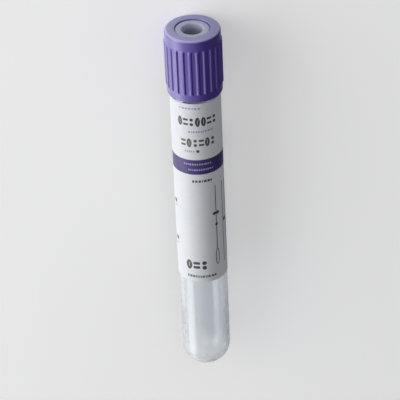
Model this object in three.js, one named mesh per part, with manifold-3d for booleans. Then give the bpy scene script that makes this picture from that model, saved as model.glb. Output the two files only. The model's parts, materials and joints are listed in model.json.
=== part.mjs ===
// A capped evacuated blood collection tube, 13 mm across and 100 mm long, lying on its side.
//
// Four pieces: the clear tube, its rubber stopper, the ribbed safety cap over both, and the label.
// Each piece is made round its own axis, +Z, with the tube's bottom at z = 0 and the cap at the top.
// The last section lays the whole tube down, with its weight on two of the cap's ribs and on the
// tube's round end.
//
// Lengths are in millimetres and angles in degrees.

import * as THREE from 'three';
import { mergeVertices } from 'three/addons/utils/BufferGeometryUtils.js';
import Module from 'manifold-3d';

const wasm = await Module();
wasm.setup();

// ---------------------------------------------------------------- driving dimensions

const facets = 48; // flat sides of every round shape; a multiple of the rib count, so they line up

// Tube
const tubeLength = 100;
const tubeDiameter = 13;
const tubeWall = 1.05;
const tubeRimRound = 0.3;

// Stopper
const plugLength = 9.5; // reach of the plug below the tube's rim
const plugClearance = 0.1; // the rubber is drawn just clear of the glass-smooth bore, not squeezed
const plugLeadIn = 0.7; // bevel that starts the plug into the bore
const plugHollowRadius = 3.2;
const plugHollowDepth = 4.2;
const plugHollowDraft = 0.7;
const flangeOverhang = 0.25; // how far the flange stands out past the tube's wall
const flangeThickness = 3.6;
const flangeEdge = 0.4;
const collarRecess = 0.25; // the rubber ends this far below the cap's top
const wellRadius = 2.75;
const wellDraft = 0.4;
const wellMouthRound = 0.35;
const septumThickness = 4; // rubber left between the needle well and the plug's hollow

// Safety cap
const capHeight = 18;
const capTopThickness = 1.6;
const capMouthRadius = 4.6; // the opening over the stopper
const capMouthBevel = 0.2;
const shoulderRound = 0.7;
const bandHeight = 3; // smooth band at the top
const lipHeight = 2.2; // smooth lip at the bottom
const lipRound = 0.2;
const skirtWall = 0.45; // at the bottom of the grooves
const skirtClearance = 0.2; // between the skirt and the tube
const skirtFlare = 0.15;
const beadClearance = 0.12; // between the bead that holds the flange and the tube
const beadHeight = 0.7;
const ribCount = 24;
const ribHeight = 0.35;
const ribWidth = 0.4;
const ribProud = 0.27; // the ribs stand this far past the smooth band and lip

// Label
const labelWidth = 35; // round the tube
const labelLength = 56; // along the tube
const labelThickness = 0.08;
const labelTurn = 65; // the label's middle lies this far round from the side that faces up
const labelGapBelowCap = 0.7;

// Fits
const seatGap = 0.08; // between pieces that rest on each other
const paperGap = 0.04; // between the label and the tube

// ---------------------------------------------------------------- sizes that follow from these

const tubeRadius = tubeDiameter / 2;
const boreRadius = tubeRadius - tubeWall;

const flangeBottom = tubeLength + seatGap;
const flangeTop = flangeBottom + flangeThickness;
const flangeRadius = tubeRadius + flangeOverhang;
const plugRadius = boreRadius - plugClearance;
const plugBottom = tubeLength - plugLength;

const capTopUnderside = flangeTop + seatGap;
const capTop = capTopUnderside + capTopThickness;
const skirtEnd = capTop - capHeight;
const collarTop = capTop - collarRecess;
const collarRadius = capMouthRadius - seatGap;

const skirtBoreRadius = tubeRadius + skirtClearance;
const chamberRadius = flangeRadius + seatGap;
const grooveRadius = skirtBoreRadius + skirtWall;
const ribRadius = grooveRadius + ribHeight;
const bandRadius = ribRadius - ribProud;
const bandBottom = capTop - bandHeight;
const lipTop = skirtEnd + lipHeight;

const labelTop = skirtEnd - labelGapBelowCap;
const labelBottom = labelTop - labelLength;
const labelInnerRadius = tubeRadius + paperGap;
const labelOuterRadius = labelInnerRadius + labelThickness;

// ---------------------------------------------------------------- colours

const clearPlastic = new THREE.MeshStandardMaterial({
  color: 0xd6dfe4,
  roughness: 0.08,
  metalness: 0,
  transparent: true,
  opacity: 0.35,
});
const greyRubber = new THREE.MeshStandardMaterial({ color: 0x8f9797, roughness: 0.6, metalness: 0 });
const purplePlastic = new THREE.MeshStandardMaterial({ color: 0x5b46a0, roughness: 0.3, metalness: 0 });
const whitePaper = new THREE.MeshStandardMaterial({ color: 0xeeeef0, roughness: 0.5, metalness: 0 });

// ---------------------------------------------------------------- shape helpers

const radians = THREE.MathUtils.degToRad;

function point(radius, height) {
  return new THREE.Vector2(radius, height);
}

// Points of a round corner or end, from one angle to another; 0 points outward and 90 points up.
function arc(centreRadius, centreHeight, radius, startAngle, endAngle, steps) {
  const points = [];
  for (let step = 0; step <= steps; step += 1) {
    const angle = radians(startAngle + ((endAngle - startAngle) * step) / steps);
    points.push(point(centreRadius + radius * Math.cos(angle), centreHeight + radius * Math.sin(angle)));
  }
  return points;
}

// Turns a half section, given as (radius, height) points, round the Z axis.
function revolve(profile) {
  const geometry = new THREE.LatheGeometry(profile, facets);
  geometry.rotateX(Math.PI / 2);
  return geometry;
}

// Radius of a faceted circle at any angle: full at its corners and a little less along its sides.
function facetedRadius(cornerRadius, angle) {
  const side = 360 / facets;
  const fromMiddle = (((angle % side) + side) % side) - side / 2;
  return (cornerRadius * Math.cos(radians(side / 2))) / Math.cos(radians(fromMiddle));
}

function toSolid(geometry) {
  const bare = geometry.clone();
  bare.deleteAttribute('normal');
  bare.deleteAttribute('uv');
  const merged = mergeVertices(bare, 1e-4);
  const mesh = new wasm.Mesh({
    numProp: 3,
    vertProperties: new Float32Array(merged.attributes.position.array),
    triVerts: new Uint32Array(merged.index.array),
  });
  return new wasm.Manifold(mesh);
}

function toGeometry(solid) {
  const mesh = solid.getMesh();
  const geometry = new THREE.BufferGeometry();
  geometry.setAttribute('position', new THREE.BufferAttribute(mesh.vertProperties, 3));
  geometry.setIndex(new THREE.BufferAttribute(mesh.triVerts, 1));
  geometry.computeVertexNormals();
  return geometry;
}

function piece(name, geometry, material) {
  const mesh = new THREE.Mesh(geometry, material);
  mesh.name = name;
  return mesh;
}

// ---------------------------------------------------------------- tube

// One moulding: a half-sphere bottom, a straight wall and a rounded rim.
function makeTube() {
  const rimTop = tubeLength - tubeRimRound;
  const profile = [
    ...arc(0, tubeRadius, tubeRadius, -90, 0, 10),
    ...arc(tubeRadius - tubeRimRound, rimTop, tubeRimRound, 0, 90, 3),
    ...arc(boreRadius + tubeRimRound, rimTop, tubeRimRound, 90, 180, 3),
    ...arc(0, tubeRadius, boreRadius, 0, -90, 8),
  ];
  return piece('tube', revolve(profile), clearPlastic);
}

// ---------------------------------------------------------------- stopper

// One rubber moulding: a hollow-ended plug in the bore, a flange over the rim, and a collar that
// rises into the cap's opening round the well where the needle goes in.
function makeStopper() {
  const hollowTop = plugBottom + plugHollowDepth;
  const wellFloor = hollowTop + septumThickness;
  const wellMouth = collarTop - wellMouthRound;
  const profile = [
    point(0, hollowTop),
    point(plugHollowRadius - plugHollowDraft, hollowTop),
    point(plugHollowRadius, plugBottom),
    point(plugRadius - plugLeadIn, plugBottom),
    point(plugRadius, plugBottom + plugLeadIn),
    point(plugRadius, flangeBottom),
    point(flangeRadius - flangeEdge, flangeBottom),
    point(flangeRadius, flangeBottom + flangeEdge),
    point(flangeRadius, flangeTop - flangeEdge),
    point(flangeRadius - flangeEdge, flangeTop),
    point(collarRadius, flangeTop),
    ...arc(collarRadius - flangeEdge, collarTop - flangeEdge, flangeEdge, 0, 90, 3),
    ...arc(wellRadius + wellMouthRound, wellMouth, wellMouthRound, 90, 180, 3),
    point(wellRadius - wellDraft, wellFloor),
    point(0, wellFloor),
  ];
  return piece('stopper', revolve(profile), greyRubber);
}

// ---------------------------------------------------------------- safety cap

// The cap without its ribs: a thin skirt between a smooth lip and a smooth band, a top ring over
// the flange, and a bead inside that keeps the flange from pulling out.
function capBody() {
  const beadTop = flangeBottom - seatGap;
  const beadBottom = beadTop - beadHeight;
  const beadRadius = tubeRadius + beadClearance;
  const step = bandRadius - grooveRadius;
  const profile = [
    point(skirtBoreRadius + skirtFlare, skirtEnd),
    ...arc(bandRadius - lipRound, skirtEnd + lipRound, lipRound, -90, 0, 3),
    point(bandRadius, lipTop - step),
    point(grooveRadius, lipTop),
    point(grooveRadius, bandBottom),
    point(bandRadius, bandBottom + step),
    ...arc(bandRadius - shoulderRound, capTop - shoulderRound, shoulderRound, 0, 90, 4),
    point(capMouthRadius + capMouthBevel, capTop),
    point(capMouthRadius, capTop - capMouthBevel),
    point(capMouthRadius, capTopUnderside),
    point(chamberRadius, capTopUnderside),
    point(chamberRadius, beadTop),
    point(beadRadius, beadTop),
    point(beadRadius, beadBottom + (skirtBoreRadius - beadRadius)),
    point(skirtBoreRadius, beadBottom),
    point(skirtBoreRadius, skirtEnd + skirtFlare),
    point(skirtBoreRadius + skirtFlare, skirtEnd),
  ];
  return toSolid(revolve(profile));
}

// One rib of the grip: a bar along the skirt, sloping into it at both ends.
function capRib(angle) {
  const root = grooveRadius - skirtWall / 2;
  const slope = ribRadius - root;
  const outline = new THREE.Shape([
    point(root, lipTop - slope),
    point(ribRadius, lipTop),
    point(ribRadius, bandBottom),
    point(root, bandBottom + slope),
  ]);
  const geometry = new THREE.ExtrudeGeometry(outline, { depth: ribWidth, bevelEnabled: false });
  geometry.rotateX(Math.PI / 2);
  geometry.translate(0, ribWidth / 2, 0);
  geometry.rotateZ(radians(angle));
  return toSolid(geometry);
}

// The ribs start half a pitch away from the side that faces down, so the cap lies on two of them.
function makeSafetyCap() {
  const pitch = 360 / ribCount;
  let solid = capBody();
  for (let rib = 0; rib < ribCount; rib += 1) {
    solid = solid.add(capRib((rib + 0.5) * pitch));
  }
  return piece('safety_cap', toGeometry(solid), purplePlastic);
}

// ---------------------------------------------------------------- label

// A strip of paper wrapped round the tube, with a clear window left between its two ends. A strip
// longer than one turn would rise over its own start and lie on it.
function makeLabel() {
  const arcAngle = THREE.MathUtils.radToDeg(labelWidth / labelInnerRadius);
  const start = 180 + labelTurn - arcAngle / 2;
  const end = start + arcAngle;
  const side = 360 / facets;
  const lapStart = start + 360 - side;
  const lapRise = labelThickness + paperGap;
  const corners = [start];
  for (let angle = (Math.floor(start / side) + 1) * side; angle < end; angle += side) {
    corners.push(angle);
  }
  corners.push(end);

  const onCircle = (cornerRadius) => (angle) => {
    const radius = facetedRadius(cornerRadius, angle) + (angle > lapStart ? lapRise : 0);
    return new THREE.Vector2(radius * Math.cos(radians(angle)), radius * Math.sin(radians(angle)));
  };
  const outer = corners.map(onCircle(labelOuterRadius));
  const inner = corners.map(onCircle(labelInnerRadius)).reverse();
  const section = new THREE.Shape([...outer, ...inner]);
  const geometry = new THREE.ExtrudeGeometry(section, { depth: labelLength, bevelEnabled: false });
  geometry.translate(0, 0, labelBottom);
  return piece('label', geometry, whitePaper);
}

// ---------------------------------------------------------------- lying down

// Angle between the tube's axis and the floor. The floor touches the tube's round end, and the
// near corners of the two lowest ribs where they begin above the lip.
function restingTilt() {
  const halfPitch = radians(180 / ribCount);
  const ribReach = ribRadius * Math.cos(halfPitch) + (ribWidth / 2) * Math.sin(halfPitch);
  const span = lipTop - tubeRadius;
  return Math.atan2(ribReach, span) - Math.asin(tubeRadius / Math.hypot(span, ribReach));
}

// The cap end points along +X and is a little higher. The local +X side faces down.
function layDown(pieces) {
  const laid = new THREE.Group();
  laid.add(...pieces);
  laid.rotation.y = Math.PI / 2 - restingTilt();
  laid.updateMatrixWorld(true);
  const box = new THREE.Box3().setFromObject(laid, true);
  const middle = box.getCenter(new THREE.Vector3());
  laid.position.set(-middle.x, -middle.y, -box.min.z);
  return laid;
}

const bloodTube = new THREE.Group();
bloodTube.add(layDown([makeTube(), makeStopper(), makeSafetyCap(), makeLabel()]));

export default bloodTube;
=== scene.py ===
"""The looks of a capped blood collection tube that lies on its side, built round its CAD frame.

Each piece is drawn upright in the tube's own frame, and is then laid down where the CAD tube lies:
    height  metres from the tube's round bottom, towards the cap
    radius  metres from the tube's axis
    turn    degrees round the tube from the side that faces up, towards the scene's -Y side
"""

import json
import math
import random

import bpy
from mathutils import Matrix, Vector


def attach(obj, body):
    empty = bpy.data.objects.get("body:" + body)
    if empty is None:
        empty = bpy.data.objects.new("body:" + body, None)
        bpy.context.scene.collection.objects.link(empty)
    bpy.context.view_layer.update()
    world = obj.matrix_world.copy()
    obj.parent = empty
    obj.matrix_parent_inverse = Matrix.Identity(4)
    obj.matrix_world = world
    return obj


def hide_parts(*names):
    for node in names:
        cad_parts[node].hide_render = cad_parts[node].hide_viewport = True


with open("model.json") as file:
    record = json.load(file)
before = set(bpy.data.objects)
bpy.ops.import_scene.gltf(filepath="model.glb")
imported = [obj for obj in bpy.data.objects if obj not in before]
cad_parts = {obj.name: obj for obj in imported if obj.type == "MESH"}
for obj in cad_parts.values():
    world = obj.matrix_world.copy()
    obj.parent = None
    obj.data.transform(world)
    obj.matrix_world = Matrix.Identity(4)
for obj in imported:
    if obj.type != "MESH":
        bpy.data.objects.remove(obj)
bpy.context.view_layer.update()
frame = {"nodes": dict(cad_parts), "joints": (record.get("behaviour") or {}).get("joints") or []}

MM = 0.001

# ---------------------------------------------------------------- driving dimensions

# Tube
TUBE_WALL = 1.05 * MM
TUBE_RIM_ROUND = 0.3 * MM
GATE_RADIUS = 0.8 * MM  # shallow moulding mark at the bottom
GATE_FLOOR_RADIUS = 0.64 * MM
GATE_DEPTH = 0.12 * MM

# Stopper
PLUG_RINGS = 3
PLUG_RING_RELIEF = 0.22 * MM  # how far the rubber draws in between its sealing rings
PLUG_RING_SHARPNESS = 3  # above 1, the hollows between the rings are narrower than the rings
PLUG_NECK = 0.1 * MM  # plain stretch between the last ring and the flange
PLUG_LEAD_IN = 0.7 * MM
PLUG_HOLLOW_RADIUS = 3.2 * MM
PLUG_HOLLOW_DEPTH = 4.2 * MM
PLUG_HOLLOW_DRAFT = 0.7 * MM
FLANGE_EDGE = 0.4 * MM
FLANGE_OVERHANG = 0.25 * MM
FLANGE_THICKNESS = 3.6 * MM
WELL_RADIUS = 2.75 * MM
WELL_DRAFT = 0.4 * MM
WELL_MOUTH_ROUND = 0.45 * MM
WELL_FLOOR_ROUND = 0.5 * MM
SEPTUM_THICKNESS = 4 * MM
# Painted shade: the rubber is drawn darker inside the well and the plug's hollow, where shade falls.
WELL_SHADE_TOP = 0.4 * MM  # the painted shade in the hollows starts this far below the stopper's top
WELL_SHADE_FULL = 2 * MM
WELL_SHADE_FADE = 0.2 * MM  # past the hollows' radius

# Safety cap
CAP_TOP_THICKNESS = 1.6 * MM
CAP_MOUTH_RADIUS = 4.6 * MM
CAP_MOUTH_ROUND = 0.2 * MM
SHOULDER_ROUND = 0.7 * MM
BAND_HEIGHT = 3 * MM
LIP_HEIGHT = 2.2 * MM
LIP_ROUND = 0.25 * MM
SKIRT_CLEARANCE = 0.2 * MM
SKIRT_FLARE = 0.15 * MM
BEAD_CLEARANCE = 0.12 * MM
BEAD_HEIGHT = 0.7 * MM
RIB_COUNT = 24
RIB_CREST = 0.3 * MM  # width of a rib's top
RIB_FOOT = 1.05 * MM  # width where its flanks meet the skirt
RIB_PROUD = 0.27 * MM  # past the smooth band and lip
RIB_END_RUN = 0.7 * MM  # how far from its end a rib takes to rise
RIB_END_START = 0.3  # share of that rise which is there at the very end
GROOVE_DEPTH = 0.08 * MM  # below the smooth band and lip
GROOVE_WIDTH = 1.28 * MM
GROOVE_EDGE = 0.22 * MM  # width of the slope round each groove
SEAT_GAP = 0.08 * MM  # between pieces that rest on each other

# Label
LABEL_WIDTH = 35 * MM
LABEL_TURN = 65  # degrees round the tube to the label's middle
LABEL_CORNER = 1.8 * MM
LABEL_PAPER_GAP = 0.04 * MM
LABEL_THICKNESS = 0.08 * MM
INK_THICKNESS = 0.012 * MM
INK_SUNK = 0.004 * MM  # how far the print's underside reaches into the paper

# Print on the label, in millimetres. Places are counted down from the cap's top.
SMALL_TEXT = 0.5  # height of a line of small text
PLAIN_TEXT = 0.7
BOLD_STROKE = 0.6
VOLUME_STROKE = 0.8
BAND_TOP, BAND_BOTTOM = 35.8, 40.3
RULES_TOP, RULES_BOTTOM = 44.6, 70
RULE_WIDTH = 2  # degrees
OVAL_DOWN, OVAL_WIDTH, OVAL_HEIGHT, OVAL_LINE = 67.3, 1.3, 5.2, 0.25
WORD_LENGTHS = (0.4, 1)  # shortest and longest dash in a line of text, as shares of the longest
WORD_GAPS = (0.25, 0.45)  # narrowest and widest gap, as shares of the same
SHAPE_FILL = 0.84  # share of its place that each bold shape takes

# Camera
CAMERA_DISTANCE = 0.67
CAMERA_ABOVE = 34  # degrees from the side of the tube towards its cap
CAMERA_ROLL = 2.6
CAP_DEPTH = 8 * MM  # what the cap's round top adds to the length that is seen
FRAME_FILL = 0.9  # share of the picture's height that the tube takes

# Light and background
FLOOR_REACH = 2.5
FLOOR_COLOUR = (0.78, 0.78, 0.785)
FLOOR_LIFT = 0.36  # glow that evens out what is seen of the floor
FLOOR_THROUGH = (0.22, 0.5)  # its glow through clear plastic, on the far side and on the key's
FLOOR_GLOSS = 1.0  # glow that gloss mirrors from the floor on the key's side
MIRRORED_DARK = 0.85  # share of the floor's own colour that gloss doesn't mirror on the far side
FLOOR_FADE = 20 * MM  # those three reach their full strength this far to either side of the tube
SKY_COLOUR = (0.98, 0.985, 1)
BACKDROP = 0.745  # the world as the camera sees it
SURROUNDINGS = 0.25  # the world as glass sees it
SKY_DARK = 0.04  # the world as gloss sees it, on the far side of the tube and on the key's side
SKY_BRIGHT = 1.0
SKY_FADE = 0.5  # how far to either side of straight up the mirrored world goes from dark to light
SKY_LIGHT = 0.2  # the world as a light
KEY_POWER = 2.3
LOW_POWER = 1.2
TOP_POWER = 0.9

# Clear plastic
PLASTIC_TINT = (0.34, 0.47, 0.58)
PLASTIC_DENSITY = 90  # how fast light is taken up, per metre
LAMP_TINT = (0.86, 0.87, 0.885)  # of lamp light that crosses one skin of the plastic
DRIED_LINE = 22 * MM  # the dried additive hazes the inner wall below this height
DRIED_FADE = 5 * MM

# Middle part of a noise's range, which is spread over a material's colours and roughness
NOISE_LOW, NOISE_HIGH = 0.3, 0.7

# Roundness of the smooth shapes
SHARP_ANGLE = 40  # edges that turn by more than this are drawn sharp
TUBE_COLUMNS = 160
STOPPER_COLUMNS = 128
RIB_COLUMNS = (0.7, 1.2, 1.7, 2.2, 2.8, 3.4, 4.2, 5.4, 6.6)  # degrees to either side of a rib's middle
ARC_STEPS = 6
ROUND_END_STEPS = 22
WALL_STEPS = 16
PLUG_RING_STEPS = 10
SHOULDER_STEPS = 8
MOUTH_STEPS = 5
SIDE_STEPS = 12  # rows along the plain middle of the ribs
RIB_END_STEP = 0.14 * MM  # closest rows, where the ribs and grooves end
RIB_END_ZONE = 1.6 * MM
RIB_END_MARGIN = 0.3 * MM  # how far that zone goes past the ends
LABEL_STEPS = 12
LABEL_COLUMN = 3  # degrees
LABEL_CORNER_STEPS = 6
PRINT_COLUMN = 4  # degrees
DOT_STEPS = 12
OVAL_END = 0.96  # the ovals are drawn out to this share of their half width
OVAL_END_STEPS = 2
OVAL_SIDE_STEPS = 8


# ---------------------------------------------------------------- the tube's own frame

def laid_down():
    """The matrix from the tube's own frame to the scene's, read from the joint and the CAD tube."""
    axis = Vector(frame["joints"][0]["axis"]).normalized()
    corners = [vertex.co for vertex in frame["nodes"]["tube"].data.vertices]
    bottom = min(corners, key=axis.dot)
    side = Vector((0, -1, 0))
    up = side.cross(axis)
    return Matrix.Translation(bottom) @ Matrix((up, side, axis)).transposed().to_4x4()


LAID = laid_down()
UPRIGHT = LAID.inverted()


def reach(node):
    """(lowest height, highest height, largest radius) of a CAD node in the tube's own frame."""
    corners = [UPRIGHT @ vertex.co for vertex in frame["nodes"][node].data.vertices]
    heights = [corner.z for corner in corners]
    return min(heights), max(heights), max(math.hypot(corner.x, corner.y) for corner in corners)


_, TUBE_TOP, TUBE_RADIUS = reach("tube")
CAP_END, CAP_TOP, RIB_RADIUS = reach("safety_cap")
PLUG_END, COLLAR_TOP, _ = reach("stopper")
LABEL_END, LABEL_TOP, _ = reach("label")

BORE_RADIUS = TUBE_RADIUS - TUBE_WALL
BAND_RADIUS = RIB_RADIUS - RIB_PROUD
LABEL_INNER = TUBE_RADIUS + LABEL_PAPER_GAP
LABEL_OUTER = LABEL_INNER + LABEL_THICKNESS


def around(radius, turn, height):
    """A point in the tube's own frame."""
    angle = math.radians(turn)
    return Vector((radius * math.cos(angle), radius * math.sin(angle), height))


def smooth_step(value):
    """0 below 0, 1 above 1, and a smooth rise between."""
    value = min(1, max(0, value))
    return value * value * (3 - 2 * value)


# ---------------------------------------------------------------- meshes

def arc(centre_radius, centre_height, size, start, end, steps=ARC_STEPS):
    """(radius, height) points of a round edge; 0 degrees points outward and 90 points up."""
    points = []
    for step in range(steps + 1):
        angle = math.radians(start + (end - start) * step / steps)
        points.append((centre_radius + size * math.cos(angle), centre_height + size * math.sin(angle)))
    return points


def straight(start, end, steps):
    """Points along a line from start to end, without its two ends."""
    shares = [step / steps for step in range(1, steps)]
    return [(start[0] + (end[0] - start[0]) * s, start[1] + (end[1] - start[1]) * s) for s in shares]


def even_turns(count):
    return [360 * column / count for column in range(count)]


def make_object(name, points, faces, materials):
    """A smooth-shaded mesh object, laid down with the tube."""
    mesh = bpy.data.meshes.new(name)
    mesh.from_pydata([tuple(point) for point in points], [], faces)
    mesh.transform(LAID)
    for material in materials:
        mesh.materials.append(material)
    mesh.validate()
    mesh.shade_smooth()
    mesh.set_sharp_from_angle(angle=math.radians(SHARP_ANGLE))
    made = bpy.data.objects.new(name, mesh)
    bpy.context.scene.collection.objects.link(made)
    return made


def spin(name, rows, turns, materials, ring=False, shape=None):
    """Turns rows of (radius, height) round the axis. The rows go up the outside and down the inside.

    They start and end on the axis, or with ring they close on themselves. shape, where it is given,
    is a function of radius, turn and height that returns the radius to use there.
    """
    points, index = [], []
    for radius, height in rows:
        if radius < 1e-9:
            index.append([len(points)] * len(turns))
            points.append(Vector((0, 0, height)))
            continue
        index.append([len(points) + column for column in range(len(turns))])
        for turn in turns:
            points.append(around(shape(radius, turn, height) if shape else radius, turn, height))
    faces = []
    pairs = list(zip(index, index[1:])) + ([(index[-1], index[0])] if ring else [])
    for lower, upper in pairs:
        for column in range(len(turns)):
            after = (column + 1) % len(turns)
            corners = [lower[column], lower[after], upper[after], upper[column]]
            unlike = list(dict.fromkeys(corners))
            if len(unlike) > 2:
                faces.append(unlike)
    return make_object(name, points, faces, materials)


# ---------------------------------------------------------------- material helpers

def new_material(name, base, roughness, **inputs):
    """A Principled material, and its nodes, its links and its shader."""
    material = bpy.data.materials.new(name)
    material.use_nodes = True
    nodes, links = material.node_tree.nodes, material.node_tree.links
    shader = nodes["Principled BSDF"]
    shader.inputs["Base Color"].default_value = (*base, 1)
    shader.inputs["Roughness"].default_value = roughness
    for socket, value in inputs.items():
        shader.inputs[socket.replace("_", " ")].default_value = value
    return material, nodes, links, shader


def noise(nodes, links, scale, detail=3, stretch=(1, 1, 1)):
    """Noise in the piece's own coordinates. scale is in cycles a metre."""
    where = nodes.new("ShaderNodeTexCoord")
    mapping = nodes.new("ShaderNodeMapping")
    mapping.inputs["Scale"].default_value = stretch
    texture = nodes.new("ShaderNodeTexNoise")
    texture.inputs["Scale"].default_value = scale
    texture.inputs["Detail"].default_value = detail
    links.new(where.outputs["Object"], mapping.inputs["Vector"])
    links.new(mapping.outputs["Vector"], texture.inputs["Vector"])
    return texture.outputs["Fac"]


def ramp(nodes, links, value, low, high):
    """A colour that goes from low to high over the middle part of a noise's range."""
    made = nodes.new("ShaderNodeValToRGB")
    made.color_ramp.elements[0].position = NOISE_LOW
    made.color_ramp.elements[0].color = (*low, 1)
    made.color_ramp.elements[1].position = NOISE_HIGH
    made.color_ramp.elements[1].color = (*high, 1)
    links.new(value, made.inputs["Fac"])
    return made.outputs["Color"]


def spread(nodes, links, value, low, high):
    """A number that goes from low to high over the middle part of a noise's range."""
    made = nodes.new("ShaderNodeMapRange")
    made.inputs["From Min"].default_value = NOISE_LOW
    made.inputs["From Max"].default_value = NOISE_HIGH
    made.inputs["To Min"].default_value = low
    made.inputs["To Max"].default_value = high
    links.new(value, made.inputs["Value"])
    return made.outputs["Result"]


def bump(nodes, links, shader, value, height):
    """Fine relief of the given height, shaped by value."""
    made = nodes.new("ShaderNodeBump")
    made.inputs["Strength"].default_value = 1
    made.inputs["Distance"].default_value = height
    links.new(value, made.inputs["Height"])
    links.new(made.outputs["Normal"], shader.inputs["Normal"])


def own_place(nodes, links):
    """Where a point is in the tube's own frame."""
    where = nodes.new("ShaderNodeTexCoord")
    mapping = nodes.new("ShaderNodeMapping")
    mapping.vector_type = "TEXTURE"
    mapping.inputs["Location"].default_value = LAID.translation
    mapping.inputs["Rotation"].default_value = LAID.to_euler()
    links.new(where.outputs["Object"], mapping.inputs["Vector"])
    return mapping.outputs["Vector"]


def share_between(nodes, links, value, start, end):
    """0 where value is at start or before it, 1 at end or past it, and even in between."""
    made = nodes.new("ShaderNodeMapRange")
    made.inputs["From Min"].default_value = start
    made.inputs["From Max"].default_value = end
    links.new(value, made.inputs["Value"])
    return made.outputs["Result"]


def own_height(nodes, links):
    """How high a point is in the tube's own frame."""
    split = nodes.new("ShaderNodeSeparateXYZ")
    links.new(own_place(nodes, links), split.inputs["Vector"])
    return split.outputs["Z"]


def from_core(nodes, links):
    """Distance from the tube's axis, and from the centre of its round end below that."""
    shift = nodes.new("ShaderNodeVectorMath")
    shift.operation = "SUBTRACT"
    shift.inputs[1].default_value = (0, 0, TUBE_RADIUS)
    below = nodes.new("ShaderNodeVectorMath")
    below.operation = "MINIMUM"
    below.inputs[1].default_value = (1, 1, 0)
    length = nodes.new("ShaderNodeVectorMath")
    length.operation = "LENGTH"
    links.new(own_place(nodes, links), shift.inputs[0])
    links.new(shift.outputs["Vector"], below.inputs[0])
    links.new(below.outputs["Vector"], length.inputs[0])
    return length.outputs["Value"]


def times(nodes, links, first, second):
    """The product of two sockets."""
    made = nodes.new("ShaderNodeMath")
    made.operation = "MULTIPLY"
    links.new(first, made.inputs[0])
    links.new(second, made.inputs[1])
    return made.outputs["Value"]


def mixed(nodes, links, share, low, high):
    """A colour that goes from low to high as share goes from 0 to 1. low is a socket, high a colour."""
    made = nodes.new("ShaderNodeMix")
    made.data_type = "RGBA"
    links.new(share, made.inputs["Factor"])
    links.new(low, made.inputs["A"])
    made.inputs["B"].default_value = (*high, 1)
    return made.outputs["Result"]


def darker(colour, share):
    return tuple(channel * share for channel in colour)


# ---------------------------------------------------------------- materials

def clear_plastic():
    """Clear moulded plastic, hazed inside by the dried additive.

    Light from the lamps goes straight through it, so that its inside and the floor behind stay lit.
    The plastic takes up a little light, which draws the darker lines along the sides of the tube.
    """
    material, nodes, links, shader = new_material(
        "clear_plastic", (0.975, 0.985, 0.99), 0.02, Transmission_Weight=1.0, IOR=1.5
    )
    height, core = own_height(nodes, links), from_core(nodes, links)
    skin = 0.1 * TUBE_WALL
    low = share_between(nodes, links, height, DRIED_LINE + DRIED_FADE, DRIED_LINE - DRIED_FADE)
    inside = share_between(nodes, links, core, TUBE_RADIUS - skin, BORE_RADIUS + skin)
    film = spread(nodes, links, noise(nodes, links, 520, 4), 0.08, 0.3)
    haze = times(nodes, links, times(nodes, links, low, inside), film)
    links.new(haze, shader.inputs["Roughness"])
    path = nodes.new("ShaderNodeLightPath")
    through = nodes.new("ShaderNodeBsdfTransparent")
    through.inputs["Color"].default_value = (*LAMP_TINT, 1)
    surface = shader.outputs["BSDF"]
    for ray in ("Is Diffuse Ray", "Is Shadow Ray"):
        mix = nodes.new("ShaderNodeMixShader")
        links.new(path.outputs[ray], mix.inputs["Fac"])
        links.new(surface, mix.inputs[1])
        links.new(through.outputs["BSDF"], mix.inputs[2])
        surface = mix.outputs["Shader"]
    links.new(surface, nodes["Material Output"].inputs["Surface"])
    absorb = nodes.new("ShaderNodeVolumeAbsorption")
    absorb.inputs["Color"].default_value = (*PLASTIC_TINT, 1)
    absorb.inputs["Density"].default_value = PLASTIC_DENSITY
    links.new(absorb.outputs["Volume"], nodes["Material Output"].inputs["Volume"])
    return material


def rubber():
    """Matt grey stopper rubber with fine pale filler in it, and painted shade that darkens its hollows.
    """
    base = (0.6, 0.615, 0.79)
    # painted shade for the hollows: the rubber's colour at half strength
    painted_well_shade = darker(base, 0.5)
    material, nodes, links, shader = new_material("grey_rubber", base, 0.6)
    height, core = own_height(nodes, links), from_core(nodes, links)
    specks = noise(nodes, links, 4200, 2)
    specked_colour = ramp(nodes, links, specks, darker(base, 0.86), darker(base, 1.14))
    # the painted shade deepens downwards from just under the stopper's top, inside the hollows' radius
    low = share_between(nodes, links, height, COLLAR_TOP - WELL_SHADE_TOP, COLLAR_TOP - WELL_SHADE_FULL)
    inner = share_between(nodes, links, core, PLUG_HOLLOW_RADIUS + WELL_SHADE_FADE, PLUG_HOLLOW_RADIUS)
    colour = mixed(nodes, links, times(nodes, links, low, inner), specked_colour, painted_well_shade)
    links.new(colour, shader.inputs["Base Color"])
    links.new(spread(nodes, links, noise(nodes, links, 900), 0.5, 0.7), shader.inputs["Roughness"])
    bump(nodes, links, shader, specks, 0.02 * MM)
    return material


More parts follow.
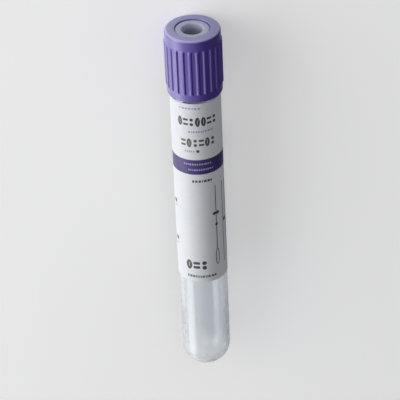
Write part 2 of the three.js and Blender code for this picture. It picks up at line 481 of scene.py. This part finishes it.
def cap_plastic():
    """Purple moulded plastic: a satin skin with faint flow marks, a top face painted paler as
    reflection, and a painted highlight round its edge.
    """
    base = (0.066, 0.022, 0.34)
    # painted reflection: the top face is drawn pale lilac, as bright surroundings mirrored in it would
    # look
    painted_top_sheen = (0.31, 0.295, 0.61)
    # painted highlight: the pale lilac line round the top's outer edge
    rim = (0.58, 0.56, 0.9)
    material, nodes, links, shader = new_material(
        "purple_plastic", base, 0.4, Specular_IOR_Level=1.0, Coat_Weight=0.8, Coat_Roughness=0.38
    )
    height, core = own_height(nodes, links), from_core(nodes, links)
    flow_marks = noise(nodes, links, 240, 3, stretch=(0.25, 1, 1))
    flow = ramp(nodes, links, flow_marks, darker(base, 0.9), darker(base, 1.1))
    # the painted reflection fades in over the upper part of the shoulder
    top = share_between(nodes, links, height, CAP_TOP - 0.6 * SHOULDER_ROUND, CAP_TOP)
    face = mixed(nodes, links, top, flow, painted_top_sheen)
    # where the painted highlight lies: the outer edge of the flat top
    flat_radius = BAND_RADIUS - SHOULDER_ROUND
    edge = share_between(nodes, links, core, flat_radius, flat_radius + 0.3 * SHOULDER_ROUND)
    colour = mixed(nodes, links, times(nodes, links, top, edge), face, rim)
    links.new(colour, shader.inputs["Base Color"])
    grain = noise(nodes, links, 2600, 2)
    links.new(spread(nodes, links, grain, 0.34, 0.44), shader.inputs["Roughness"])
    bump(nodes, links, shader, grain, 0.006 * MM)
    return material


def paper():
    """White coated label paper with a faint fibre grain."""
    base = (0.845, 0.865, 0.905)
    material, nodes, links, shader = new_material("label_paper", base, 0.5, Specular_IOR_Level=0.3)
    fibres = noise(nodes, links, 1500, 4, stretch=(1, 0.5, 0.5))
    links.new(ramp(nodes, links, fibres, darker(base, 0.97), base), shader.inputs["Base Color"])
    links.new(spread(nodes, links, fibres, 0.42, 0.56), shader.inputs["Roughness"])
    bump(nodes, links, shader, fibres, 0.01 * MM)
    return material


def ink(name, base):
    """Printed ink, slightly uneven over the paper's grain."""
    material, nodes, links, shader = new_material(name, base, 0.45)
    grain = noise(nodes, links, 3000, 2)
    light = tuple(min(1, channel * 1.12 + 0.01) for channel in base)
    links.new(ramp(nodes, links, grain, base, light), shader.inputs["Base Color"])
    return material


# ---------------------------------------------------------------- tube

def make_tube():
    """The clear tube: a round bottom with a shallow gate mark, a straight wall and a rounded rim."""
    gate_angle = -90 + math.degrees(GATE_RADIUS / TUBE_RADIUS)
    rim_height = TUBE_TOP - TUBE_RIM_ROUND
    outside = arc(0, TUBE_RADIUS, TUBE_RADIUS, gate_angle, 0, ROUND_END_STEPS)
    inside = arc(0, TUBE_RADIUS, BORE_RADIUS, 0, -90, ROUND_END_STEPS)
    outer_rim = arc(TUBE_RADIUS - TUBE_RIM_ROUND, rim_height, TUBE_RIM_ROUND, 0, 90)
    inner_rim = arc(BORE_RADIUS + TUBE_RIM_ROUND, rim_height, TUBE_RIM_ROUND, 90, 180)
    rows = [
        (0, GATE_DEPTH),
        (GATE_FLOOR_RADIUS, GATE_DEPTH),
        *outside,
        *straight(outside[-1], outer_rim[0], WALL_STEPS),
        *outer_rim,
        *inner_rim,
        *straight(inner_rim[-1], inside[0], WALL_STEPS),
        *inside[:-1],
        (0, TUBE_WALL),
    ]
    return spin("clear_tube", rows, even_turns(TUBE_COLUMNS), [clear_plastic()])


# ---------------------------------------------------------------- stopper

def plug_wall(radius, low, high):
    """The plug's side, drawn in between its sealing rings."""
    steps = PLUG_RINGS * PLUG_RING_STEPS
    points = []
    for step in range(steps + 1):
        share = step / steps
        wave = 0.5 - 0.5 * math.cos(2 * math.pi * PLUG_RINGS * share)
        relief = PLUG_RING_RELIEF * wave ** PLUG_RING_SHARPNESS
        points.append((radius - relief, low + (high - low) * share))
    return points


def make_stopper():
    """The rubber stopper: a hollow plug with sealing rings, a flange, and a collar round its well."""
    flange_bottom = TUBE_TOP + SEAT_GAP
    flange_top = flange_bottom + FLANGE_THICKNESS
    flange_radius = TUBE_RADIUS + FLANGE_OVERHANG
    plug_radius = BORE_RADIUS - SEAT_GAP
    collar_radius = CAP_MOUTH_RADIUS - SEAT_GAP
    hollow_top = PLUG_END + PLUG_HOLLOW_DEPTH
    well_floor = hollow_top + SEPTUM_THICKNESS
    well_foot = WELL_RADIUS - WELL_DRAFT
    hollow_radius = PLUG_HOLLOW_RADIUS - PLUG_HOLLOW_DRAFT
    well_mouth = COLLAR_TOP - WELL_MOUTH_ROUND
    rows = [
        (0, hollow_top),
        *arc(hollow_radius - FLANGE_EDGE, hollow_top - FLANGE_EDGE, FLANGE_EDGE, 90, 0),
        *arc(PLUG_HOLLOW_RADIUS + FLANGE_EDGE, PLUG_END + FLANGE_EDGE, FLANGE_EDGE, 180, 270),
        (plug_radius - PLUG_LEAD_IN, PLUG_END),
        *plug_wall(plug_radius, PLUG_END + PLUG_LEAD_IN, flange_bottom - PLUG_NECK),
        (plug_radius, flange_bottom),
        *arc(flange_radius - FLANGE_EDGE, flange_bottom + FLANGE_EDGE, FLANGE_EDGE, -90, 0),
        *arc(flange_radius - FLANGE_EDGE, flange_top - FLANGE_EDGE, FLANGE_EDGE, 0, 90),
        (collar_radius, flange_top),
        *arc(collar_radius - FLANGE_EDGE, COLLAR_TOP - FLANGE_EDGE, FLANGE_EDGE, 0, 90),
        *arc(WELL_RADIUS + WELL_MOUTH_ROUND, well_mouth, WELL_MOUTH_ROUND, 90, 180),
        *arc(well_foot - WELL_FLOOR_ROUND, well_floor + WELL_FLOOR_ROUND, WELL_FLOOR_ROUND, 0, -90),
        (0, well_floor),
    ]
    return spin("rubber_stopper", rows, even_turns(STOPPER_COLUMNS), [rubber()])


# ---------------------------------------------------------------- safety cap

RIB_BOTTOM = CAP_END + LIP_HEIGHT
RIB_TOP = CAP_TOP - BAND_HEIGHT
RIB_PITCH = 360 / RIB_COUNT  # degrees


def rib_height(from_middle, from_end):
    """How much of its full height a rib has at distances from its middle line and from its end."""
    across = smooth_step((RIB_FOOT / 2 - from_middle) / (RIB_FOOT / 2 - RIB_CREST / 2))
    return across * smooth_step(from_end / RIB_END_RUN + RIB_END_START)


def cap_surface(radius, turn, height):
    """The cap's radius: the ribs stand proud of it, and a round-ended groove lies between each two."""
    is_side = radius > BAND_RADIUS - 0.001 * MM
    if not is_side:
        return radius
    from_rib = BAND_RADIUS * math.radians(abs(turn % RIB_PITCH - RIB_PITCH / 2))
    from_groove = BAND_RADIUS * math.radians(RIB_PITCH / 2) - from_rib
    half_groove = GROOVE_WIDTH / 2
    past_end = max(0, RIB_BOTTOM + half_groove - height, height - (RIB_TOP - half_groove))
    groove = smooth_step((half_groove - math.hypot(from_groove, past_end)) / GROOVE_EDGE)
    rib = rib_height(from_rib, min(height - RIB_BOTTOM, RIB_TOP - height))
    return radius + RIB_PROUD * rib - GROOVE_DEPTH * groove


def cap_turns():
    """Columns of the cap's mesh, closer together on the flanks of each rib."""
    before = [-column for column in reversed(RIB_COLUMNS)]
    offsets = [RIB_PITCH / 2 + offset for offset in (*before, 0, *RIB_COLUMNS)]
    return [rib * RIB_PITCH + offset for rib in range(RIB_COUNT) for offset in offsets]


def cap_side_heights():
    """Heights of the cap's rows between its lip and its shoulder, closer where the ribs end."""
    count = round(RIB_END_ZONE / RIB_END_STEP)
    climb = [RIB_END_ZONE * step / count - RIB_END_MARGIN for step in range(count + 1)]
    lower = [RIB_BOTTOM + rise for rise in climb]
    upper = [RIB_TOP - rise for rise in reversed(climb)]
    gap = upper[0] - lower[-1]
    between = [lower[-1] + gap * step / SIDE_STEPS for step in range(1, SIDE_STEPS)]
    return lower + between + upper


def make_cap():
    """The safety cap: a ribbed skirt between a lip and a band, a top ring, and a bead inside."""
    flange_bottom = TUBE_TOP + SEAT_GAP
    underside = CAP_TOP - CAP_TOP_THICKNESS
    skirt_bore = TUBE_RADIUS + SKIRT_CLEARANCE
    chamber = TUBE_RADIUS + FLANGE_OVERHANG + SEAT_GAP
    bead_top = flange_bottom - SEAT_GAP
    bead_bottom = bead_top - BEAD_HEIGHT
    bead_radius = TUBE_RADIUS + BEAD_CLEARANCE
    shoulder_radius = BAND_RADIUS - SHOULDER_ROUND
    mouth_radius = CAP_MOUTH_RADIUS + CAP_MOUTH_ROUND
    rows = [
        *arc(BAND_RADIUS - LIP_ROUND, CAP_END + LIP_ROUND, LIP_ROUND, -90, 0),
        *[(BAND_RADIUS, height) for height in cap_side_heights()],
        *arc(shoulder_radius, CAP_TOP - SHOULDER_ROUND, SHOULDER_ROUND, 0, 90, SHOULDER_STEPS),
        *arc(mouth_radius, CAP_TOP - CAP_MOUTH_ROUND, CAP_MOUTH_ROUND, 90, 180, MOUTH_STEPS),
        (CAP_MOUTH_RADIUS, underside),
        (chamber, underside),
        (chamber, bead_top),
        (bead_radius, bead_top),
        (bead_radius, bead_bottom + skirt_bore - bead_radius),
        (skirt_bore, bead_bottom),
        (skirt_bore, CAP_END + SKIRT_FLARE),
        (skirt_bore + SKIRT_FLARE, CAP_END),
    ]
    return spin("ribbed_cap", rows, cap_turns(), [cap_plastic()], ring=True, shape=cap_surface)


# ---------------------------------------------------------------- label

def turn_across(length):
    """Degrees that a length round the label covers."""
    return math.degrees(length / LABEL_OUTER)


LABEL_ARC = math.degrees(LABEL_WIDTH / LABEL_INNER)
LABEL_LEFT = LABEL_TURN - LABEL_ARC / 2
LABEL_RIGHT = LABEL_LEFT + LABEL_ARC


def wrapped_slab(points, faces, outline, inner, outer, rows):
    """Adds a closed slab that follows the tube. outline is a list of (turn, low, high) columns."""
    first = len(points)
    for radius in (inner, outer):
        for turn, low, high in outline:
            for row in range(rows + 1):
                points.append(around(radius, turn, low + (high - low) * row / rows))
    columns, across = len(outline), rows + 1
    layer = columns * across

    def at(skin, column, row):
        return first + skin * layer + column * across + row

    for column in range(columns - 1):
        for row in range(rows):
            quad = [(column, row), (column + 1, row), (column + 1, row + 1), (column, row + 1)]
            faces.append([at(1, *corner) for corner in quad])
            faces.append([at(0, *corner) for corner in reversed(quad)])
        for row, order in ((0, 1), (rows, -1)):
            after = column + 1
            side = [at(0, column, row), at(0, after, row), at(1, after, row), at(1, column, row)]
            faces.append(side[::order])
    for column, order in ((0, 1), (columns - 1, -1)):
        for row in range(rows):
            above = row + 1
            side = [at(0, column, row), at(0, column, above), at(1, column, above), at(1, column, row)]
            faces.append(side[::order])


def rounded_outline(left, right, low, high, corner):
    """Columns of a strip with rounded corners. left and right are turns, and the rest are lengths."""
    corner_turn = turn_across(corner)
    quarter = [math.pi / 2 * step / LABEL_CORNER_STEPS for step in range(LABEL_CORNER_STEPS + 1)]
    bend = [corner_turn * (1 - math.cos(angle)) for angle in quarter]
    count = max(1, round((right - left - 2 * corner_turn) / LABEL_COLUMN))
    width = (right - left - 2 * corner_turn) / count
    turns = [left + turn for turn in bend]
    turns += [left + corner_turn + width * column for column in range(1, count)]
    turns += [right - turn for turn in reversed(bend)]
    columns = []
    for turn in turns:
        from_end = math.radians(min(turn - left, right - turn)) * LABEL_OUTER
        missing = max(0, corner - from_end)
        inset = corner - math.sqrt(max(0, corner * corner - missing * missing))
        columns.append((turn, low + inset, high - inset))
    return columns


def make_label():
    """The paper label, wrapped round the tube with a clear window between its ends."""
    points, faces = [], []
    outline = rounded_outline(LABEL_LEFT, LABEL_RIGHT, LABEL_END, LABEL_TOP, LABEL_CORNER)
    wrapped_slab(points, faces, outline, LABEL_INNER, LABEL_OUTER, LABEL_STEPS)
    return make_object("paper_label", points, faces, [paper()])


# ---------------------------------------------------------------- print on the label
# Text is shown as plain shapes and dashes. top, bottom and down are millimetres down from the cap's
# top, and left, right and turn are degrees round the tube.

class Print:
    """Flat marks on the label, gathered into one mesh with a material for each ink."""

    def __init__(self):
        self.points, self.faces, self.inks, self.face_inks = [], [], [], []

    def add(self, ink_material, outline, layer=0):
        """A mark; its outline is a list of (turn, low, high) columns. Layer 1 lies on layer 0."""
        if ink_material not in self.inks:
            self.inks.append(ink_material)
        outer = LABEL_OUTER + (layer + 1) * INK_THICKNESS
        wrapped_slab(self.points, self.faces, outline, LABEL_OUTER - INK_SUNK, outer, 1)
        missing = len(self.faces) - len(self.face_inks)
        self.face_inks += [self.inks.index(ink_material)] * missing

    def bar(self, ink_material, left, right, top, bottom, layer=0):
        """A filled rectangle."""
        count = max(1, math.ceil((right - left) / PRINT_COLUMN))
        low, high = CAP_TOP - bottom * MM, CAP_TOP - top * MM
        turns = [left + (right - left) * column / count for column in range(count + 1)]
        self.add(ink_material, [(turn, low, high) for turn in turns], layer)

    def rule(self, ink_material, turn, top, bottom):
        """A line along the tube."""
        self.bar(ink_material, turn - RULE_WIDTH / 2, turn + RULE_WIDTH / 2, top, bottom)

    def dot(self, ink_material, turn, down, radius):
        """A filled disc; radius is in millimetres."""
        middle = CAP_TOP - down * MM
        half_turn = turn_across(radius * MM)
        columns = []
        for step in range(1, DOT_STEPS):
            angle = math.pi * step / DOT_STEPS
            half = radius * MM * math.sin(angle)
            columns.append((turn - half_turn * math.cos(angle), middle - half, middle + half))
        self.add(ink_material, columns)

    def oval(self, ink_material, turn, down, width, height, line):
        """A hollow oval; width, height and line are in millimetres."""
        middle = CAP_TOP - down * MM
        outer, inner = width / 2, width / 2 - line

        def half_height(across, half_width, tall):
            return tall * MM * math.sqrt(max(0, 1 - (across / half_width) ** 2))

        def outside(across):
            return half_height(across, outer, height / 2)

        def hollow(across):
            return half_height(across, inner, height / 2 - line)

        def add_columns(start, end, steps, bottom_edge, top_edge):
            columns = []
            for step in range(steps + 1):
                across = start + (end - start) * step / steps
                low, high = middle + bottom_edge(across), middle + top_edge(across)
                columns.append((turn + turn_across(across * MM), low, high))
            self.add(ink_material, columns)

        end = OVAL_END * outer
        add_columns(-end, -inner, OVAL_END_STEPS, lambda x: -outside(x), outside)
        add_columns(-inner, inner, OVAL_SIDE_STEPS, hollow, outside)
        add_columns(-inner, inner, OVAL_SIDE_STEPS, lambda x: -outside(x), lambda x: -hollow(x))
        add_columns(inner, end, OVAL_END_STEPS, lambda x: -outside(x), outside)

    def dashes(self, ink_material, left, right, top, height, longest, seed, layer=0):
        """A row of uneven dashes, as a line of text looks from afar. longest is in degrees."""
        draw = random.Random(seed)
        turn = left
        while turn < right:
            width = longest * draw.uniform(*WORD_LENGTHS)
            self.bar(ink_material, turn, min(right, turn + width), top, top + height, layer)
            turn += width + longest * draw.uniform(*WORD_GAPS)

    def shapes(self, ink_material, left, right, top, bottom, line, order):
        """A row of plain shapes in place of bold text: o a hollow oval, = two bars, : two dots."""
        pitch = (right - left) / len(order)
        half_turn = pitch * SHAPE_FILL / 2
        width = math.radians(2 * half_turn) * LABEL_OUTER / MM
        middle, height = (top + bottom) / 2, bottom - top
        inset, half_gap, radius = height * 0.15, height * 0.25, line * 0.75
        for place, shape in enumerate(order):
            turn = left + pitch * (place + 0.5)
            if shape == "o":
                self.oval(ink_material, turn, middle, width, height, line)
            elif shape == "=":
                for down in (top + inset, bottom - inset - line):
                    self.bar(ink_material, turn - half_turn, turn + half_turn, down, down + line)
            else:
                for down in (middle - half_gap, middle + half_gap):
                    self.dot(ink_material, turn, down, radius)

    def finish(self):
        made = make_object("label_print", self.points, self.faces, self.inks)
        made.data.polygons.foreach_set("material_index", self.face_inks)
        return made


def print_heading(marks, dark, green, lilac):
    """Two bold lines, with small text round them."""
    marks.dashes(lilac, -40, 10, 19.9, SMALL_TEXT, 7, seed=1)
    marks.shapes(dark, -46, 50, 22.8, 25.6, BOLD_STROKE, "o=:oo=:")
    marks.dashes(lilac, -20, 40, 26.9, SMALL_TEXT, 5, seed=2)
    marks.shapes(green, -40, 44, 29.2, 31.9, BOLD_STROKE, "=o:=o:")
    marks.dashes(lilac, -30, -8, 32.9, SMALL_TEXT, 5, seed=3)
    marks.dot(dark, 0, 33.1, 0.45)


def print_band(marks, dark, purple, lilac):
    """The purple band nearly all round the label, with a dark field and small text on it."""
    start = LABEL_LEFT + 2
    marks.bar(purple, start, LABEL_RIGHT - 4, BAND_TOP, BAND_BOTTOM)
    marks.bar(dark, start, start + 10, BAND_TOP, BAND_TOP + 1.3, layer=1)
    marks.dashes(lilac, -34, 30, 36.9, SMALL_TEXT, 5, seed=8, layer=1)
    marks.dashes(lilac, -24, 36, 38.6, SMALL_TEXT, 5, seed=9, layer=1)


def print_writing_area(marks, dark):
    """A line of text over a bare area, and rules beside it; the first of them ends in an oval."""
    marks.dashes(dark, -16, 30, 42.1, PLAIN_TEXT, 6, seed=5)
    first = 38
    marks.rule(dark, first, RULES_TOP, OVAL_DOWN - OVAL_HEIGHT / 2)
    marks.oval(dark, first, OVAL_DOWN, OVAL_WIDTH, OVAL_HEIGHT, OVAL_LINE)
    for turn in (first - 5, first + 5):
        marks.dot(dark, turn, 53.4, 0.5)
    marks.dot(dark, first, 57, 0.45)
    for turn in (61, 76):
        marks.rule(dark, turn, RULES_TOP, RULES_BOTTOM)
    marks.dot(dark, 68, 57, 0.6)


def print_squares(marks, dark, lilac):
    """Two small squares near the label's start, each with a short line under it."""
    left = LABEL_LEFT + 12
    side, gap, line = 1.2, 0.8, 0.3
    for top in (50, 62):
        under = top + side + gap
        marks.bar(dark, left, left + turn_across(side * MM), top, top + side)
        marks.bar(lilac, left - 1, left + turn_across(1.5 * MM), under, under + line)


def print_foot(marks, dark, green, lilac):
    """The volume mark with a line of text under it, and thin lines to write on round the back."""
    marks.shapes(dark, -42, 13, 67.8, 70.8, VOLUME_STROKE, "o=:")
    marks.dashes(green, -38, 32, 72.6, PLAIN_TEXT, 7, seed=7)
    for top in (48, 54, 60, 66):
        marks.bar(lilac, 95, 185, top, top + 0.25)


def make_print():
    """The label's print, from its top to its foot."""
    dark = ink("ink_dark", (0.045, 0.047, 0.055))
    green = ink("ink_green_grey", (0.085, 0.105, 0.095))
    purple = ink("ink_purple", (0.048, 0.028, 0.165))
    lilac = ink("ink_lilac", (0.42, 0.36, 0.60))
    marks = Print()
    print_heading(marks, dark, green, lilac)
    print_band(marks, dark, purple, lilac)
    print_writing_area(marks, dark)
    print_squares(marks, dark, lilac)
    print_foot(marks, dark, green, lilac)
    return marks.finish()


# ---------------------------------------------------------------- floor, light and camera

def by_ray(nodes, links, otherwise, **choices):
    """A number that depends on the kind of ray. Choices are numbers or sockets; the last one wins."""
    path = nodes.new("ShaderNodeLightPath")
    chosen = otherwise
    for ray, value in choices.items():
        pick = nodes.new("ShaderNodeMapRange")
        for socket, source in (("To Min", chosen), ("To Max", value)):
            if isinstance(source, (int, float)):
                pick.inputs[socket].default_value = source
            else:
                links.new(source, pick.inputs[socket])
        links.new(path.outputs[f"Is {ray} Ray"], pick.inputs["Value"])
        chosen = pick.outputs["Result"]
    return chosen


def by_side(nodes, links, where, fade, dark, light):
    """A number that goes from dark on the far side of the tube to light on the key's side.

    where is "Object", for places on the floor, or "Generated", for directions in the world.
    """
    place = nodes.new("ShaderNodeTexCoord")
    split = nodes.new("ShaderNodeSeparateXYZ")
    links.new(place.outputs[where], split.inputs["Vector"])
    value = share_between(nodes, links, split.outputs["Y"], -fade, fade)
    value.node.inputs["To Min"].default_value = dark
    value.node.inputs["To Max"].default_value = light
    return value


def floor_glow(nodes, links):
    """The floor's glow: even where it is seen, and in gloss only on the key's side of the tube."""
    mirrored = by_side(nodes, links, "Object", FLOOR_FADE, 0, FLOOR_GLOSS)
    through = by_side(nodes, links, "Object", FLOOR_FADE, *FLOOR_THROUGH)
    return by_ray(nodes, links, 0, Glossy=mirrored, Transmission=through, Camera=FLOOR_LIFT)


def make_floor():
    """A plain pale floor. What the camera sees of it is lifted evenly, and shadows stay on it."""
    corners = [(x * FLOOR_REACH, y * FLOOR_REACH, 0) for x, y in ((-1, -1), (1, -1), (1, 1), (-1, 1))]
    mesh = bpy.data.meshes.new("floor")
    mesh.from_pydata(corners, [], [(0, 1, 2, 3)])
    floor = bpy.data.objects.new("floor", mesh)
    bpy.context.scene.collection.objects.link(floor)
    material = bpy.data.materials.new("floor_paint")
    material.use_nodes = True
    nodes, links = material.node_tree.nodes, material.node_tree.links
    nodes.remove(nodes["Principled BSDF"])
    diffuse = nodes.new("ShaderNodeBsdfDiffuse")
    colour = nodes.new("ShaderNodeRGB")
    colour.outputs["Color"].default_value = (*FLOOR_COLOUR, 1)
    dark_side = by_side(nodes, links, "Object", FLOOR_FADE, MIRRORED_DARK, 0)
    share = by_ray(nodes, links, 0, Glossy=dark_side, Transmission=0)
    seen = mixed(nodes, links, share, colour.outputs["Color"], (0, 0, 0))
    links.new(seen, diffuse.inputs["Color"])
    glow = nodes.new("ShaderNodeEmission")
    glow.inputs["Color"].default_value = (1, 1, 1, 1)
    both = nodes.new("ShaderNodeAddShader")
    links.new(floor_glow(nodes, links), glow.inputs["Strength"])
    links.new(diffuse.outputs["BSDF"], both.inputs[0])
    links.new(glow.outputs["Emission"], both.inputs[1])
    links.new(both.outputs["Shader"], nodes["Material Output"].inputs["Surface"])
    mesh.materials.append(material)


def make_world():
    """A plain pale studio: an even backdrop to the camera, and dark on the far side in gloss."""
    world = bpy.data.worlds.new("studio")
    bpy.context.scene.world = world
    world.use_nodes = True
    nodes, links = world.node_tree.nodes, world.node_tree.links
    background = nodes["Background"]
    background.inputs["Color"].default_value = (*SKY_COLOUR, 1)
    mirrored = by_side(nodes, links, "Generated", SKY_FADE, SKY_DARK, SKY_BRIGHT)
    strength = by_ray(
        nodes, links, SKY_LIGHT, Glossy=mirrored, Transmission=SURROUNDINGS, Camera=BACKDROP
    )
    links.new(strength, background.inputs["Strength"])


def own_direction(towards_cap, turn):
    """A direction in the scene, given by degrees towards the cap and degrees round the tube."""
    tilt = math.radians(towards_cap)
    return LAID.to_3x3() @ around(math.cos(tilt), turn, math.sin(tilt))


def area_light(name, direction, distance, size, power, target):
    """A soft lamp at a distance from the target in the given direction, facing it."""
    light = bpy.data.lights.new(name, "AREA")
    light.shape = "RECTANGLE"
    light.size, light.size_y = size
    light.energy = power
    made = bpy.data.objects.new(name, light)
    made.location = target + direction * distance
    made.rotation_euler = direction.to_track_quat("Z", "Y").to_euler()
    bpy.context.scene.collection.objects.link(made)


def make_lights(target):
    """A large key lamp at the tube's side, a low one near it for the round end, and a soft top lamp."""
    area_light("key", own_direction(18, -68), 0.6, (0.6, 0.45), KEY_POWER, target)
    area_light("low", own_direction(-30, -76), 0.6, (0.5, 0.35), LOW_POWER, target)
    area_light("top", own_direction(40, 10), 0.9, (0.7, 0.7), TOP_POWER, target)


def make_camera(target):
    """Looks at the tube from above its side, turned so that the cap is at the top of the picture."""
    back = own_direction(CAMERA_ABOVE, 0)
    right = LAID.to_3x3() @ Vector((0, 1, 0))
    up = back.cross(right)
    turn = Matrix((right, up, back)).transposed() @ Matrix.Rotation(math.radians(-CAMERA_ROLL), 3, "Z")
    camera = bpy.data.cameras.new("camera")
    seen_length = CAP_TOP * math.cos(math.radians(CAMERA_ABOVE)) + CAP_DEPTH
    half_view = seen_length / FRAME_FILL / 2 / CAMERA_DISTANCE
    camera.lens = camera.sensor_width / 2 / half_view
    camera.clip_start = 0.01
    made = bpy.data.objects.new("camera", camera)
    made.matrix_world = Matrix.Translation(target + back * CAMERA_DISTANCE) @ turn.to_4x4()
    bpy.context.scene.collection.objects.link(made)
    bpy.context.scene.camera = made


# ---------------------------------------------------------------- the whole scene

PIECES = (
    (make_tube, "tube", "clear_plastic", ["tube"]),
    (make_stopper, "closure", "grey_rubber", ["stopper"]),
    (make_cap, "closure", "purple_plastic", ["safety_cap"]),
    (make_label, "tube", "label_paper", ["label"]),
    (make_print, "tube", None, []),
)

for make, body, slot, nodes_replaced in PIECES:
    made_piece = make()
    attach(made_piece, body)
    if nodes_replaced:
        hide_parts(*nodes_replaced)

middle_of_tube = LAID @ Vector((0, 0, CAP_TOP / 2))
make_floor()
make_world()
make_lights(middle_of_tube)
make_camera(middle_of_tube)

bpy.context.scene.view_settings.view_transform = "Standard"
